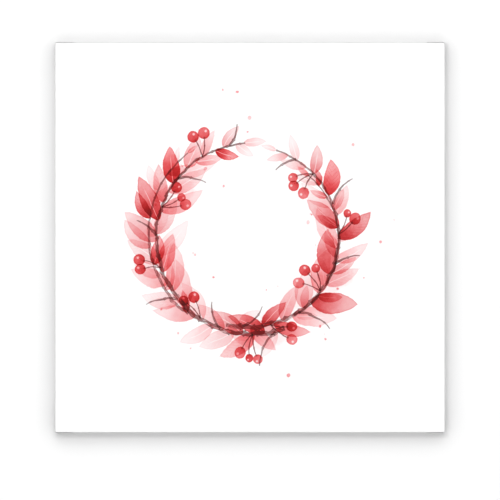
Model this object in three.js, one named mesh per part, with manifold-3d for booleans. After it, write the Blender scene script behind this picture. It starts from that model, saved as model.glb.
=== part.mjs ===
// A square stretched canvas wall picture, built the way a real one is.
//
// Millimetres, +Z up. The picture faces -Y and the wall is the plane y = 0. The origin is
// the point on the wall where the nail carries the middle notch of the hanger.

import * as THREE from 'three';
import { mergeVertices } from 'three/addons/utils/BufferGeometryUtils.js';
import Module from 'manifold-3d';

const wasm = await Module();
wasm.setup();

// Driving dimensions of the picture
const PICTURE_SIDE = 400;
const PICTURE_DEPTH = 20;
const WALL_GAP = 2.5; // from the cloth on the back to the wall
const CLOTH = 0.5; // thickness of the primed canvas
const CLOTH_EDGE_RADIUS = 1.5;
const CLOTH_CORNER_RADIUS = 0.4; // of the flat front's corners, inside the rounded edges
const FLAP_WIDTH = 28; // cloth turned over the back
const FOLD_HEIGHT = 1; // two more layers of cloth at a folded corner
const FOLD_LENGTH = 48; // along the flap's free edge
const FOLD_TUCK = 3; // how far the fold draws in towards the flap's free edge
const SEAT_GAP = 0.2; // between the cloth and the wood

// Driving dimensions of a stretcher bar
const BAR_WIDTH = 38;
const LIP_WIDTH = 4; // flat outer lip that carries the cloth
const BEVEL_FALL = 2; // how far the front falls away behind the lip
const BAR_EASING = 1; // rounding of the inner edges
const BACK_CHEEK = 5; // wood behind the joint
const JOINT_LAYER = 4; // thickness of a tongue or a slot
const TONGUE_GAP = 0.15; // on each face of a tongue
const MITRE_GAP = 0.3; // between the mitred faces of two bars

// Driving dimensions of a corner wedge
const WEDGE_LENGTH = 30;
const WEDGE_IN_SLOT = 6;
const WEDGE_TIP = 2.2;
const WEDGE_HEAD = 11.5;
const WEDGE_CHAMFER = 1.5;
const WEDGE_GAP = 0.3;

// Driving dimensions of the fasteners
const STAPLE_CROWN = 11;
const STAPLE_LEG = 6;
const STAPLE_WIRE = 0.5; // thickness of the wire
const STAPLE_WIDTH = 1.2; // width of the wire
const STAPLE_BEND = 0.45; // outer rounding where the crown turns into a leg
const STAPLE_POINT = 0.8; // length of a leg's chiselled tip
const STAPLE_PITCH = 55;
const STAPLES_PER_SIDE = 6;
const STAPLE_INSET = 20; // from the picture's edge to the row of staples
const FOLD_STAPLE_INSET = { x: 32, z: 22 }; // from the picture's edges to the staple on a fold
const HOLE_GAP = 0.2; // round a staple's leg or a nail

// Driving dimensions of the sawtooth hanger, its nails and the wall pads
const HANGER_LENGTH = 48;
const HANGER_HEIGHT = 11;
const HANGER_SHEET = 0.8;
const HANGER_STANDOFF = 1.4; // room behind the raised middle for a nail's head
const HANGER_MIDDLE = 28; // length of the raised middle
const HANGER_RAMP = 2.5;
const HANGER_INSET = 6; // from the picture's top edge to the plate
const HANGER_END_RADIUS = 3;
const TOOTH_PITCH = 3;
const TOOTH_DEPTH = 2;
const TOOTH_COUNT = 9;
const TOOTH_FLAT = 0.2; // blunt tip between two notches
const NAIL_RADIUS = 0.75;
const NAIL_LENGTH = 10;
const NAIL_HEAD_RADIUS = 2;
const NAIL_HEAD = 0.7;
const NAIL_POINT = 1.5;
const NAIL_INSET = 4.5; // from the plate's end to the nail
const PAD_RADIUS = 5.5;
const PAD_EASING = 0.6;
const PAD_INSET = 13.5; // from both edges of the picture to the pad's middle

// Facets of the round pieces, and how far a cutter runs past what it cuts
const NAIL_FACETS = 16;
const PAD_FACETS = 24;
const OVERCUT = 1;

// Sizes that follow
const HALF = PICTURE_SIDE / 2;
const CLOTH_BACK = -WALL_GAP;
const CLOTH_FRONT = CLOTH_BACK - PICTURE_DEPTH;
const FOLD_BACK = CLOTH_BACK + FOLD_HEIGHT;
const WOOD_INSET = CLOTH + SEAT_GAP;
const WOOD_BACK = CLOTH_BACK - WOOD_INSET;
const WOOD_FRONT = CLOTH_FRONT + WOOD_INSET;
const BAR_HALF = HALF - WOOD_INSET; // half the length of a bar
const BAR_INNER = BAR_HALF - BAR_WIDTH; // from the middle of the picture to a bar's inner face
const FLAP_INNER = HALF - FLAP_WIDTH;
const STAPLE_LINE = HALF - STAPLE_INSET;
const HANGER_LOW = HALF - HANGER_INSET - HANGER_HEIGHT;
const HANG_HEIGHT = HANGER_LOW + TOOTH_DEPTH; // the middle notch, above the picture's middle
const PAD_PLACE = HALF - PAD_INSET;

// The joint has two layers in the depth of a bar, the rear one next to the back cheek
const REAR_LAYER = [WOOD_BACK - BACK_CHEEK - JOINT_LAYER, WOOD_BACK - BACK_CHEEK];
const FRONT_LAYER = [REAR_LAYER[0] - JOINT_LAYER, REAR_LAYER[0]];

// The wedge's slanted edge sets how much longer a slot is than the tongue in it
const WEDGE_SLANT = (WEDGE_HEAD - WEDGE_TIP) / WEDGE_LENGTH;
const WEDGE_AT_MOUTH = WEDGE_TIP + WEDGE_SLANT * WEDGE_IN_SLOT;
const SLOT_LENGTH = BAR_WIDTH + WEDGE_GAP + WEDGE_AT_MOUTH + WEDGE_GAP;

const primedCanvas = new THREE.MeshStandardMaterial({ color: 0xf7f6f3, roughness: 0.85, metalness: 0 });
const pine = new THREE.MeshStandardMaterial({ color: 0xdcbf90, roughness: 0.7, metalness: 0 });
const beech = new THREE.MeshStandardMaterial({ color: 0xc99a6b, roughness: 0.6, metalness: 0 });
const wire = new THREE.MeshStandardMaterial({ color: 0xb9bcc0, roughness: 0.35, metalness: 1 });
const zincSheet = new THREE.MeshStandardMaterial({ color: 0xa9adb2, roughness: 0.4, metalness: 1 });
const rubber = new THREE.MeshStandardMaterial({ color: 0x3b3b3d, roughness: 0.8, metalness: 0 });

/** A closed geometry as a solid that can be joined and cut. */
function toSolid(geometry) {
  const bare = geometry.clone();
  bare.deleteAttribute('normal');
  bare.deleteAttribute('uv');
  const merged = mergeVertices(bare, 1e-4);
  return new wasm.Manifold(new wasm.Mesh({
    numProp: 3,
    vertProperties: Float32Array.from(merged.attributes.position.array),
    triVerts: Uint32Array.from(merged.index.array),
  }));
}

/** A solid as a geometry that a mesh can hold. */
function toGeometry(solid) {
  const mesh = solid.getMesh();
  const geometry = new THREE.BufferGeometry();
  geometry.setAttribute('position', new THREE.BufferAttribute(mesh.vertProperties, 3));
  geometry.setIndex(new THREE.BufferAttribute(mesh.triVerts, 1));
  geometry.computeVertexNormals();
  return geometry;
}

/** An outline seen from the front, drawn in x and z, from one depth y to another. */
function slice(shape, yFront, yBack, curveSegments = 3) {
  const depth = yBack - yFront;
  const geometry = new THREE.ExtrudeGeometry(shape, { depth, bevelEnabled: false, curveSegments });
  return geometry.rotateX(Math.PI / 2).translate(0, yBack, 0);
}

/** A straight-sided outline from a list of [x, z] corners. */
function outline(corners) {
  return new THREE.Shape(corners.map(([x, z]) => new THREE.Vector2(x, z)));
}

/** A box from its lowest to its highest corner. */
function block([x0, y0, z0], [x1, y1, z1]) {
  const geometry = new THREE.BoxGeometry(x1 - x0, y1 - y0, z1 - z0);
  return geometry.translate((x0 + x1) / 2, (y0 + y1) / 2, (z0 + z1) / 2);
}

/** A square outline about the middle of the picture, with rounded corners. */
function roundedSquare(half, radius) {
  const shape = new THREE.Shape();
  const turns = [[1, 1], [-1, 1], [-1, -1], [1, -1]];
  turns.forEach(([x, z], index) => {
    const start = index * Math.PI / 2;
    shape.absarc(x * (half - radius), z * (half - radius), radius, start, start + Math.PI / 2, false);
  });
  shape.closePath();
  return shape;
}

/** The picture's block, drawn in by an inset on every side, with all its edges rounded. */
function slab(inset) {
  const radius = CLOTH_EDGE_RADIUS - inset;
  const core = roundedSquare(HALF - inset - radius, CLOTH_CORNER_RADIUS);
  const depth = PICTURE_DEPTH - 2 * inset - 2 * radius;
  const rounding = { bevelEnabled: true, bevelThickness: radius, bevelSize: radius, bevelSegments: 3 };
  const geometry = new THREE.ExtrudeGeometry(core, { depth, curveSegments: 2, ...rounding });
  return geometry.rotateX(Math.PI / 2).translate(0, CLOTH_BACK - inset - radius, 0);
}

/** Places of the staples along one side of the picture. */
function stapleRow() {
  const middle = (STAPLES_PER_SIDE - 1) / 2;
  return Array.from({ length: STAPLES_PER_SIDE }, (_, index) => (index - middle) * STAPLE_PITCH);
}

/** The two holes that a staple's legs need, for a crown on the depth yCrown. */
function stapleHoles(x, z, yCrown) {
  const reach = STAPLE_CROWN / 2 + HOLE_GAP;
  const inner = STAPLE_CROWN / 2 - STAPLE_WIRE - HOLE_GAP;
  const halfWidth = STAPLE_WIDTH / 2 + HOLE_GAP;
  const yTip = yCrown + STAPLE_WIRE - STAPLE_LEG - HOLE_GAP;
  return [[x - reach, x - inner], [x + inner, x + reach]].map(([x0, x1]) => (
    toSolid(block([x0, yTip, z - halfWidth], [x1, yCrown + STAPLE_WIRE, z + halfWidth]))
  ));
}

/** A nail's hole, square and a little wider than the shank. */
function nailHole(x, z) {
  const half = NAIL_RADIUS + HOLE_GAP;
  const yTip = CLOTH_BACK + HANGER_SHEET - NAIL_LENGTH - HOLE_GAP;
  return toSolid(block([x - half, yTip, z - half], [x + half, 0, z + half]));
}

const NAIL_X = HANGER_LENGTH / 2 - NAIL_INSET;
const NAIL_Z = HANGER_LOW + HANGER_HEIGHT / 2;

/** Middles of the four staples on the folded corners, which lie on the top and bottom flaps. */
function foldStaples() {
  const x = HALF - FOLD_STAPLE_INSET.x;
  const z = HALF - FOLD_STAPLE_INSET.z;
  return [[-x, z], [x, z], [-x, -z], [x, -z]];
}

/** The wood of one stretcher bar in the top place, before any staple or nail goes in. */
function barWood() {
  const section = new THREE.Shape();
  section.moveTo(HALF, WOOD_BACK);
  section.lineTo(HALF, WOOD_FRONT);
  section.lineTo(BAR_HALF - LIP_WIDTH, WOOD_FRONT);
  section.lineTo(BAR_INNER + BAR_EASING, WOOD_FRONT + BEVEL_FALL);
  section.quadraticCurveTo(
    BAR_INNER, WOOD_FRONT + BEVEL_FALL,
    BAR_INNER, WOOD_FRONT + BEVEL_FALL + BAR_EASING,
  );
  section.lineTo(BAR_INNER, WOOD_BACK - BAR_EASING);
  section.quadraticCurveTo(BAR_INNER, WOOD_BACK, BAR_INNER + BAR_EASING, WOOD_BACK);
  section.closePath();

  const length = PICTURE_SIDE;
  const rough = new THREE.ExtrudeGeometry(section, { depth: length, bevelEnabled: false, curveSegments: 3 });
  rough.rotateY(-Math.PI / 2).translate(length / 2, 0, 0);
  let wood = toSolid(rough).intersect(toSolid(slab(WOOD_INSET)));

  // The right end has its tongue in the front layer, the left end in the rear layer
  const ends = [
    { side: 1, tongue: FRONT_LAYER, slot: REAR_LAYER },
    { side: -1, tongue: REAR_LAYER, slot: FRONT_LAYER },
  ];
  for (const { side, tongue, slot } of ends) {
    wood = cutMitre(wood, side, WOOD_FRONT - OVERCUT, tongue[0] + TONGUE_GAP);
    wood = cutMitre(wood, side, tongue[1] - TONGUE_GAP, WOOD_BACK + OVERCUT);
    wood = wood.subtract(slotCutter(side, slot));
  }
  return wood;
}

/** Takes the waste beyond the mitre off one end of a bar, between two depths. */
function cutMitre(wood, side, yFront, yBack) {
  const face = MITRE_GAP / Math.SQRT2;
  const past = 2 * HALF;
  const corners = [
    [side * (BAR_INNER - past - face), BAR_INNER - past],
    [side * (BAR_INNER + past - face), BAR_INNER + past],
    [side * (BAR_INNER + past), BAR_INNER - past],
  ];
  const waste = outline(side > 0 ? corners.reverse() : corners);
  return wood.subtract(toSolid(slice(waste, yFront, yBack)));
}

/** The open slot in one end of a bar: room for the next bar's tongue and for a wedge's tip. */
function slotCutter(side, [yFront, yBack]) {
  const near = side * (BAR_HALF - SLOT_LENGTH);
  const far = side * (HALF + OVERCUT);
  const [x0, x1] = side > 0 ? [near, far] : [far, near];
  return toSolid(block([x0, yFront, BAR_INNER - OVERCUT], [x1, yBack, HALF + OVERCUT]));
}

/** A wedge that lies along a bar's inner face with its tip in the next bar's slot. */
function wedgeShape(side) {
  const zTop = BAR_INNER - WEDGE_GAP;
  const xTip = BAR_INNER + WEDGE_IN_SLOT;
  const xHead = xTip - WEDGE_LENGTH;
  const corners = [
    [xTip, zTop],
    [xHead + WEDGE_CHAMFER, zTop],
    [xHead, zTop - WEDGE_CHAMFER],
    [xHead, zTop - WEDGE_HEAD + WEDGE_CHAMFER],
    [xHead + WEDGE_CHAMFER, zTop - WEDGE_HEAD + WEDGE_CHAMFER * WEDGE_SLANT],
    [xTip, zTop - WEDGE_TIP],
  ];
  const placed = corners.map(([x, z]) => [side * x, z]);
  return outline(side > 0 ? placed : placed.reverse());
}

/** A bent wire staple with its crown along x, lying on the depth y = 0 with its legs into -y. */
function stapleGeometry() {
  const half = STAPLE_CROWN / 2;
  const tip = STAPLE_WIRE - STAPLE_LEG;
  const shape = new THREE.Shape();
  shape.moveTo(-half, tip + STAPLE_POINT);
  shape.lineTo(-half + STAPLE_WIRE, tip);
  shape.lineTo(-half + STAPLE_WIRE, 0);
  shape.lineTo(half - STAPLE_WIRE, 0);
  shape.lineTo(half - STAPLE_WIRE, tip);
  shape.lineTo(half, tip + STAPLE_POINT);
  shape.lineTo(half, STAPLE_WIRE - STAPLE_BEND);
  shape.quadraticCurveTo(half, STAPLE_WIRE, half - STAPLE_BEND, STAPLE_WIRE);
  shape.lineTo(-half + STAPLE_BEND, STAPLE_WIRE);
  shape.quadraticCurveTo(-half, STAPLE_WIRE, -half, STAPLE_WIRE - STAPLE_BEND);
  const settings = { depth: STAPLE_WIDTH, bevelEnabled: false, curveSegments: 3 };
  return new THREE.ExtrudeGeometry(shape, settings).translate(0, 0, -STAPLE_WIDTH / 2);
}

/** The cloth: a tray open at the back, with a turned flap all round and four folded corners. */
function canvasSolid() {
  const tray = toSolid(slab(0)).subtract(toSolid(slab(CLOTH)));
  const window = block([-FLAP_INNER, CLOTH_BACK - 2 * CLOTH, -FLAP_INNER], [FLAP_INNER, 0, FLAP_INNER]);
  let cloth = tray.subtract(toSolid(window));
  for (const [sx, sz] of [[1, 1], [-1, 1], [-1, -1], [1, -1]]) {
    const fold = slice(foldShape(sx, sz), CLOTH_BACK - CLOTH / 2, FOLD_BACK);
    cloth = cloth.add(toSolid(fold));
  }
  const holes = [];
  for (let turn = 0; turn < 4; turn += 1) {
    for (const x of stapleRow()) {
      for (const hole of stapleHoles(x, STAPLE_LINE, CLOTH_BACK)) {
        holes.push(hole.rotate([0, turn * 90, 0]));
      }
    }
  }
  for (const [x, z] of foldStaples()) {
    holes.push(...stapleHoles(x, z, FOLD_BACK));
  }
  for (const x of [-NAIL_X, NAIL_X]) {
    holes.push(nailHole(x, NAIL_Z));
  }
  for (const hole of holes) {
    cloth = cloth.subtract(hole);
  }
  return cloth;
}

/** The tucked layers under a flap's end, widening from the picture's edge to the flap's free edge. */
function foldShape(sx, sz) {
  const outer = HALF - CLOTH_EDGE_RADIUS;
  const corners = [
    [outer, outer],
    [HALF - PICTURE_DEPTH, outer],
    [HALF - FOLD_LENGTH, FLAP_INNER],
    [outer - FOLD_TUCK, FLAP_INNER],
  ];
  const placed = corners.map(([x, z]) => [sx * x, sz * z]);
  return outline(sx * sz > 0 ? placed : placed.reverse());
}

/** The pressed sawtooth hanger, its tabs on the cloth and its middle standing off. */
function hangerSolid() {
  const half = HANGER_LENGTH / 2;
  const middle = HANGER_MIDDLE / 2;
  const foot = middle + HANGER_RAMP;
  const raised = [[-middle, HANGER_STANDOFF], [middle, HANGER_STANDOFF]];
  const inner = [[-half, 0], [-foot, 0], ...raised, [foot, 0], [half, 0]];
  const outer = inner.map(([x, y]) => [x, y + HANGER_SHEET]).reverse();
  const strip = new THREE.ExtrudeGeometry(outline([...inner, ...outer]), {
    depth: HANGER_HEIGHT,
    bevelEnabled: false,
  });
  strip.translate(0, CLOTH_BACK, HANGER_LOW);

  const ends = new THREE.Shape();
  const zMiddle = HANGER_LOW + HANGER_HEIGHT / 2;
  const arcX = half - HANGER_END_RADIUS;
  const arcZ = HANGER_HEIGHT / 2 - HANGER_END_RADIUS;
  [[1, 1], [-1, 1], [-1, -1], [1, -1]].forEach(([sx, sz], quarter) => {
    const start = quarter * Math.PI / 2;
    ends.absarc(sx * arcX, zMiddle + sz * arcZ, HANGER_END_RADIUS, start, start + Math.PI / 2, false);
  });
  ends.closePath();
  let plate = toSolid(strip).intersect(toSolid(slice(ends, CLOTH_BACK - OVERCUT, 0, 6)));

  const flare = (TOOTH_PITCH - TOOTH_FLAT) / 2 / TOOTH_DEPTH;
  const zBase = HANGER_LOW - OVERCUT;
  const reach = flare * (HANG_HEIGHT - zBase);
  for (let index = 0; index < TOOTH_COUNT; index += 1) {
    const x = (index - (TOOTH_COUNT - 1) / 2) * TOOTH_PITCH;
    const notch = outline([[x - reach, zBase], [x + reach, zBase], [x, HANG_HEIGHT]]);
    plate = plate.subtract(toSolid(slice(notch, CLOTH_BACK - OVERCUT, 0)));
  }
  for (const x of [-NAIL_X, NAIL_X]) {
    plate = plate.subtract(nailHole(x, NAIL_Z));
  }
  return plate;
}

/** A round-headed nail along y, its head resting on the depth y = 0. */
function nailGeometry() {
  const tip = HANGER_SHEET - NAIL_LENGTH;
  const profile = [
    [0, tip],
    [NAIL_RADIUS, tip + NAIL_POINT],
    [NAIL_RADIUS, 0],
    [NAIL_HEAD_RADIUS, 0],
    [NAIL_HEAD_RADIUS, NAIL_HEAD * 0.4],
    [NAIL_HEAD_RADIUS * 0.7, NAIL_HEAD * 0.85],
    [0, NAIL_HEAD],
  ];
  return new THREE.LatheGeometry(profile.map(([r, y]) => new THREE.Vector2(r, y)), NAIL_FACETS);
}

/** A round rubber pad along y, from the folded cloth to the wall. */
function padGeometry() {
  const easingMiddle = PAD_EASING * (1 - Math.SQRT1_2);
  const profile = [
    [0, FOLD_BACK],
    [PAD_RADIUS, FOLD_BACK],
    [PAD_RADIUS, -PAD_EASING],
    [PAD_RADIUS - easingMiddle, -easingMiddle],
    [PAD_RADIUS - PAD_EASING, 0],
    [0, 0],
  ];
  return new THREE.LatheGeometry(profile.map(([r, y]) => new THREE.Vector2(r, y)), PAD_FACETS);
}

/** Adds one named mesh to a group. */
function addPiece(group, name, geometry, material, [x, y, z] = [0, 0, 0]) {
  const mesh = new THREE.Mesh(geometry, material);
  mesh.name = name;
  mesh.position.set(x, y, z);
  group.add(mesh);
  return mesh;
}

const model = new THREE.Group();

// The picture's middle lies below the nail
const picture = new THREE.Group();
picture.position.z = -HANG_HEIGHT;
model.add(picture);

addPiece(picture, 'canvas', toGeometry(canvasSolid()), primedCanvas);

let stapledWood = barWood();
for (const x of stapleRow()) {
  for (const hole of stapleHoles(x, STAPLE_LINE, CLOTH_BACK)) {
    stapledWood = stapledWood.subtract(hole);
  }
}
let foldedWood = stapledWood;
for (const [x, z] of foldStaples().filter(([, z]) => z > 0)) {
  for (const hole of stapleHoles(x, z, FOLD_BACK)) {
    foldedWood = foldedWood.subtract(hole);
  }
}
let hangerWood = foldedWood;
for (const x of [-NAIL_X, NAIL_X]) {
  hangerWood = hangerWood.subtract(nailHole(x, NAIL_Z));
}

const sides = [
  { name: 'top', wood: hangerWood },
  { name: 'right', wood: stapledWood },
  { name: 'bottom', wood: foldedWood },
  { name: 'left', wood: stapledWood },
];
sides.forEach(({ name, wood }, turn) => {
  const side = new THREE.Group();
  side.rotation.y = turn * Math.PI / 2;
  picture.add(side);

  addPiece(side, `bar_${name}`, toGeometry(wood), pine);
  stapleRow().forEach((x, index) => {
    addPiece(side, `staple_${name}_${index + 1}`, stapleGeometry(), wire, [x, CLOTH_BACK, STAPLE_LINE]);
  });
  [[1, FRONT_LAYER], [-1, REAR_LAYER]].forEach(([end, [yFront, yBack]], index) => {
    const wedge = slice(wedgeShape(end), yFront + WEDGE_GAP, yBack - WEDGE_GAP);
    addPiece(side, `wedge_${name}_${index + 1}`, wedge, beech);
  });
});

foldStaples().forEach(([x, z], index) => {
  addPiece(picture, `staple_fold_${index + 1}`, stapleGeometry(), wire, [x, FOLD_BACK, z]);
});

addPiece(picture, 'hanger', toGeometry(hangerSolid()), zincSheet);
[['left', -1], ['right', 1]].forEach(([name, end]) => {
  const nailPlace = [end * NAIL_X, CLOTH_BACK + HANGER_SHEET, NAIL_Z];
  addPiece(picture, `hanger_nail_${name}`, nailGeometry(), wire, nailPlace);
  addPiece(picture, `pad_${name}`, padGeometry(), rubber, [end * PAD_PLACE, 0, -PAD_PLACE]);
});

export default model;
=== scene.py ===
"""Dresses a square stretched canvas wall picture: cloth, print, wood, steel and rubber."""

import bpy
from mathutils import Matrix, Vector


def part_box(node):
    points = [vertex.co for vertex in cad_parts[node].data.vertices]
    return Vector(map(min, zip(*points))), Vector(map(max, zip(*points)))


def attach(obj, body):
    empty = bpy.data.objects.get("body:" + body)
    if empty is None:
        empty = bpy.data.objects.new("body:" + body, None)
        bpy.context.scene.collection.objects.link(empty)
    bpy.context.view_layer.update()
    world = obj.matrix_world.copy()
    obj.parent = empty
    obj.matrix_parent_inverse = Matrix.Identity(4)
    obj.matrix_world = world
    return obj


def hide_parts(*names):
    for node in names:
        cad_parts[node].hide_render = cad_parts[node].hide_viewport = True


bl_info = {
    "name": "Stretched canvas wall picture",
    "version": (1, 0, 0),
    "blender": (4, 5, 0),
    "location": "3D View > Sidebar > Picture",
    "description": "Builds a stretched canvas picture with a watercolour wreath on its front",
    "category": "Add Mesh",
}

import math
from dataclasses import dataclass
from functools import partialmethod

import bpy
import numpy as np
from bpy.props import FloatProperty, FloatVectorProperty, IntProperty, PointerProperty
from mathutils import Vector

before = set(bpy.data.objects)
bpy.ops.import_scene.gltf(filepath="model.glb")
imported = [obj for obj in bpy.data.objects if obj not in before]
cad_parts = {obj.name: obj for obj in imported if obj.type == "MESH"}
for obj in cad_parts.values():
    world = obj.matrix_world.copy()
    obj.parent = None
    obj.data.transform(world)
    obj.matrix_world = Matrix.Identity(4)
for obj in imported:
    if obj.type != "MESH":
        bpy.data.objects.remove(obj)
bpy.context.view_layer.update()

MM = 0.001

# Places that the frame gives, in metres
CANVAS_LOW, CANVAS_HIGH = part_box("canvas")
HALF = (CANVAS_HIGH.x - CANVAS_LOW.x) / 2
MIDDLE_Z = (CANVAS_HIGH.z + CANVAS_LOW.z) / 2
FRONT_Y = CANVAS_LOW.y
FOLD_Y = CANVAS_HIGH.y
BACK_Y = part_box("staple_top_1")[1].y - 0.5 * MM
DEPTH = BACK_Y - FRONT_Y
STAPLE_LINE = (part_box("staple_top_1")[0].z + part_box("staple_top_1")[1].z) / 2 - MIDDLE_Z
STAPLE_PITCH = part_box("staple_top_2")[0].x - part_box("staple_top_1")[0].x

# The front bears on the bars' outer lips, and lies a little deeper inside them
BAR_LIP = 4 * MM
LIP_SLOPE = 13 * MM
FRONT_HOLLOW = 0.12 * MM

# The cloth is folded over at the ends of the top and bottom, with a seam at each corner
CORNER_BEND = 1.1 * MM
FOLD_REACH = 20 * MM
FOLD_SLOPE = 1.2 * MM
FOLD_RISE = 0.7 * MM
SEAM_START = 1.3 * MM
SEAM_END = 0.4 * MM
SEAM_DROP = 0.25 * MM

# The flaps lift between the staples, and their free edge isn't cut quite straight
PUCKER = 0.5 * MM
PUCKER_REACH = 9 * MM
CUT_WAVE = 0.8 * MM
CUT_REACH = 7 * MM

# The cloth's grid: its usual cell, and what counts as the same line
CELL = 2.85 * MM
SAME_LINE = 0.1 * MM

# Corners of one cell of the grid in turn, for the front and for the back
FRONT_TURN = ((0, 0), (1, 0), (1, 1), (0, 1))
BACK_TURN = ((0, 0), (0, 1), (1, 1), (1, 0))

# Slots of the cloth's materials
PRINTED, RAW, TURNED = range(3)

# From the picture's middle to the knots in mm, on the wood that the flaps leave bare
KNOT_LINE = 166.0

# Facets round a nail or a pad
ROUND_FACETS = 56

# What the print's strokes leave on the corners of the cloth's faces
STROKE_DATA = ("place", "size", "look")
# Layers of each kind of stroke, because the renderer's shader has no room for more
MOST_LAYERS = 5
# Round a stroke's outline in mm, to reach the middles of all faces that it crosses
PAINT_MARGIN = 3.0

# The wall stands a hair behind the pads, on the floor, in metres
WALL_Y = 0.4 * MM
WALL_HALF = 2
WALL_TOP = 2.2
FLOOR_Z = -1.3
FLOOR_HALF = 6
SQUARE = ((-1, -1), (1, -1), (1, 1), (-1, 1))

# The photo's width and the picture's in it, and how far the picture hangs above its middle, in pixels
PHOTO_WIDTH = 500
PICTURE_WIDTH = 390
PICTURE_RISE = 12.5


def sized(name, description, default, **limits):
    """A length that the user can change, from millimetres."""
    limits = {side: value * MM for side, value in limits.items()}
    default = default * MM
    return FloatProperty(name=name, description=description, default=default, unit="LENGTH", **limits)


def coloured(name, description, *default):
    """A colour that the user can change."""
    return FloatVectorProperty(
        name=name,
        description=description,
        default=default,
        size=3,
        subtype="COLOR",
    )


class PictureSizes(bpy.types.PropertyGroup):
    """Sizes of the cloth and of the printed wreath."""

    cloth: sized("Cloth thickness", "Thickness of the primed canvas", 0.45, min=0.2, max=1.0)
    flap: sized("Flap", "Width of the cloth turned over the back", 28, min=15, max=36)
    edge_radius: sized("Edge radius", "Rounding where the cloth turns over the bars", 0.8, min=0.6, max=2.0)
    weave_pitch: sized("Weave pitch", "Distance from one thread of the canvas to the next", 0.62)
    wreath_radius: sized("Wreath radius", "Radius of the printed wreath, to its twigs", 96)
    leaf_length: sized("Leaf length", "Length of the longest printed leaves", 50)
    berry_radius: sized("Berry radius", "Radius of the largest printed berries", 6.2)
    print_seed: IntProperty(
        name="Print seed",
        description="Start of the random draws that vary the leaves",
        default=11,
    )


class PictureColours(bpy.types.PropertyGroup):
    """Colours of the materials, in linear light."""

    primed: coloured("Primed cloth", "White ground of the canvas", 0.93, 0.93, 0.93)
    raw: coloured("Raw cloth", "Unprimed cotton inside the picture", 0.75, 0.69, 0.57)
    pine_light: coloured("Pine, early wood", "Pale wood between the rings", 0.76, 0.56, 0.33)
    pine_dark: coloured("Pine, late wood", "Dark wood of the rings", 0.52, 0.31, 0.13)
    beech: coloured("Beech", "Wood of the corner wedges", 0.57, 0.36, 0.20)
    zinc: coloured("Zinc", "Plating of the hanger", 0.60, 0.62, 0.65)
    wire: coloured("Wire", "Bright steel of the staples and nails", 0.56, 0.56, 0.58)
    rubber: coloured("Rubber", "Wall pads", 0.035, 0.035, 0.038)
    wall: coloured("Wall", "Plain backdrop behind the picture", 0.91, 0.91, 0.91)
    floor: coloured("Floor", "Plain floor below the picture", 0.50, 0.50, 0.50)


# Node trees, written as formulas


class Field:
    """A number in a node tree. Sums, products and so on of fields add math nodes."""

    def __init__(self, tree, value):
        self.tree = tree
        self.value = value

    def math(self, operation, *others):
        """A field from a math node that takes this field first."""
        node = self.tree.nodes.new("ShaderNodeMath")
        node.operation = operation
        for socket, other in zip(node.inputs, (self, *others)):
            plug(self.tree, other, socket)
        return Field(self.tree, node.outputs[0])

    __add__ = __radd__ = partialmethod(math, "ADD")
    __sub__ = partialmethod(math, "SUBTRACT")
    __mul__ = __rmul__ = partialmethod(math, "MULTIPLY")
    __truediv__ = partialmethod(math, "DIVIDE")
    __pow__ = partialmethod(math, "POWER")
    __abs__ = partialmethod(math, "ABSOLUTE")
    least = partialmethod(math, "MINIMUM")
    most = partialmethod(math, "MAXIMUM")
    fraction = partialmethod(math, "FRACT")
    whole = partialmethod(math, "FLOOR")
    sine = partialmethod(math, "SINE")
    root = partialmethod(math, "SQRT")
    exponent = partialmethod(math, "EXPONENT")

    def __rsub__(self, other):
        return Field(self.tree, other) - self

    def rise(self, low, high):
        """A smooth step from 0 at low to 1 at high."""
        node = self.tree.nodes.new("ShaderNodeMapRange")
        node.interpolation_type = "SMOOTHSTEP"
        for name, value in (("Value", self), ("From Min", low), ("From Max", high)):
            plug(self.tree, value, node.inputs[name])
        return Field(self.tree, node.outputs["Result"])

    def toward(self, other, share):
        """This field where share is 0, the other where it is 1."""
        return self + (other - self) * share


def plug(tree, value, socket):
    """Sets a socket to a number or colour, or links it to a field or socket."""
    if isinstance(value, Field):
        value = value.value
    if isinstance(value, bpy.types.NodeSocket):
        tree.links.new(value, socket)
    elif isinstance(value, (int, float)):
        socket.default_value = value
    else:
        socket.default_value = (*value, 1.0)[: len(socket.default_value)]


def join(tree, x, y, z):
    """A vector socket from three fields."""
    node = tree.nodes.new("ShaderNodeCombineXYZ")
    for socket, value in zip(node.inputs, (x, y, z)):
        plug(tree, value, socket)
    return node.outputs[0]


def split(tree, vector):
    """Three fields from a vector socket."""
    node = tree.nodes.new("ShaderNodeSeparateXYZ")
    tree.links.new(vector, node.inputs[0])
    return [Field(tree, output) for output in node.outputs]


def noise(tree, vector, scale, detail=2.0, roughness=0.5, distortion=0.0):
    """Three noise fields from 0 to 1, about one half."""
    node = tree.nodes.new("ShaderNodeTexNoise")
    tree.links.new(vector, node.inputs["Vector"])
    node.inputs["Scale"].default_value = scale
    node.inputs["Detail"].default_value = detail
    node.inputs["Roughness"].default_value = roughness
    node.inputs["Distortion"].default_value = distortion
    separate = tree.nodes.new("ShaderNodeSeparateColor")
    tree.links.new(node.outputs["Color"], separate.inputs[0])
    return [Field(tree, output) for output in separate.outputs]


def stored(tree, name, output):
    """A field of values stored on the mesh."""
    attribute = tree.nodes.new("ShaderNodeAttribute")
    attribute.attribute_name = name
    return Field(tree, attribute.outputs[output])


def blend(tree, share, first, second):
    """A colour socket that goes from the first colour to the second with share."""
    node = tree.nodes.new("ShaderNodeMix")
    node.data_type = "RGBA"
    plug(tree, share, node.inputs[0])
    plug(tree, first, node.inputs[6])
    plug(tree, second, node.inputs[7])
    return node.outputs[2]


def millimetres(tree):
    """The place on the object along x, y and z, as three fields in millimetres."""
    coordinates = tree.nodes.new("ShaderNodeTexCoord")
    return [field / MM for field in split(tree, coordinates.outputs["Object"])]


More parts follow.
